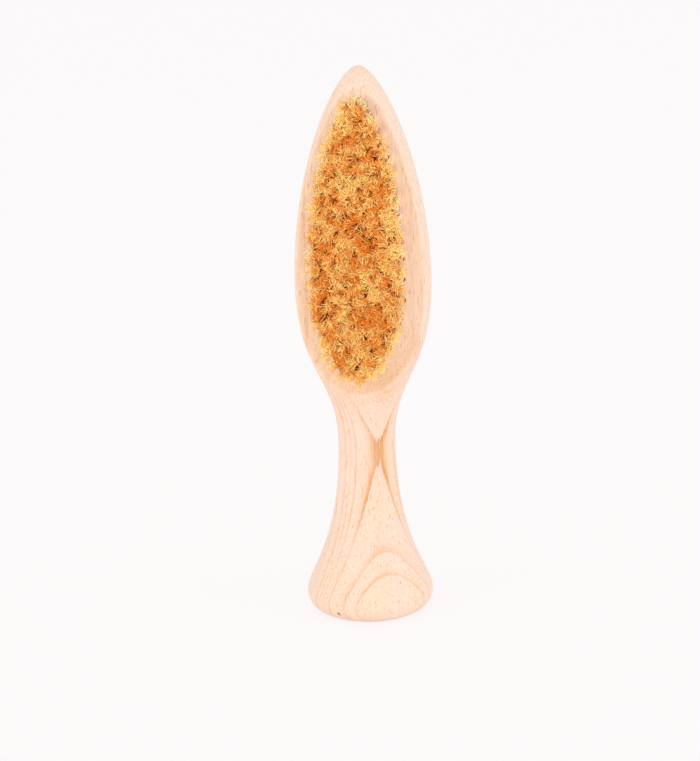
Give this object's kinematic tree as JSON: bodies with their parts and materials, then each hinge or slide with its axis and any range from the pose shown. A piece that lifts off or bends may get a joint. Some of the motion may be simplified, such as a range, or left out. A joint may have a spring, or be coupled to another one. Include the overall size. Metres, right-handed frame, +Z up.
{
  "type": "nail brush",
  "caption": "Turned beech nail brush with a leaf-shaped head, a waisted neck, a flared foot to stand on, and staple-set natural fibre tufts.",
  "frame": {"origin": "centre of the flat base of the foot, on the turning axis", "axes": "+Z up along the turning axis to the tip of the head, -Y the way the bristles point, +X to the right as seen from the bristle side"},
  "size_m": [0.0362, 0.035, 0.15],
  "materials": {
    "beech": "fine-sanded, waxed, satin",
    "fibre": "stiff golden plant fibre, tips trimmed level"
  },
  "bodies": {
    "root": {"brush_body": "beech", "tuft_centre_01": "fibre", "tuft_centre_02": "fibre", "tuft_centre_03": "fibre", "tuft_centre_04": "fibre", "tuft_centre_05": "fibre", "tuft_centre_06": "fibre", "tuft_centre_07": "fibre", "tuft_centre_08": "fibre", "tuft_centre_09": "fibre", "tuft_centre_10": "fibre", "tuft_centre_11": "fibre", "tuft_left1_01": "fibre", "tuft_left1_02": "fibre", "tuft_left1_03": "fibre", "tuft_left1_04": "fibre", "tuft_left1_05": "fibre", "tuft_left1_06": "fibre", "tuft_left1_07": "fibre", "tuft_left1_08": "fibre", "tuft_left1_09": "fibre", "tuft_left2_01": "fibre", "tuft_left2_02": "fibre", "tuft_left2_03": "fibre", "tuft_left2_04": "fibre", "tuft_left2_05": "fibre", "tuft_left2_06": "fibre", "tuft_left2_07": "fibre", "tuft_left2_08": "fibre", "tuft_left2_09": "fibre", "tuft_left2_10": "fibre", "tuft_left2_11": "fibre", "tuft_left2_12": "fibre", "tuft_left2_13": "fibre", "tuft_right1_01": "fibre", "tuft_right1_02": "fibre", "tuft_right1_03": "fibre", "tuft_right1_04": "fibre", "tuft_right1_05": "fibre", "tuft_right1_06": "fibre", "tuft_right1_07": "fibre", "tuft_right1_08": "fibre", "tuft_right1_09": "fibre", "tuft_right2_01": "fibre", "tuft_right2_02": "fibre", "tuft_right2_03": "fibre", "tuft_right2_04": "fibre", "tuft_right2_05": "fibre", "tuft_right2_06": "fibre", "tuft_right2_07": "fibre", "tuft_right2_08": "fibre", "tuft_right2_09": "fibre", "tuft_right2_10": "fibre", "tuft_right2_11": "fibre", "tuft_right2_12": "fibre", "tuft_right2_13": "fibre"}
  },
  "joints": []
}
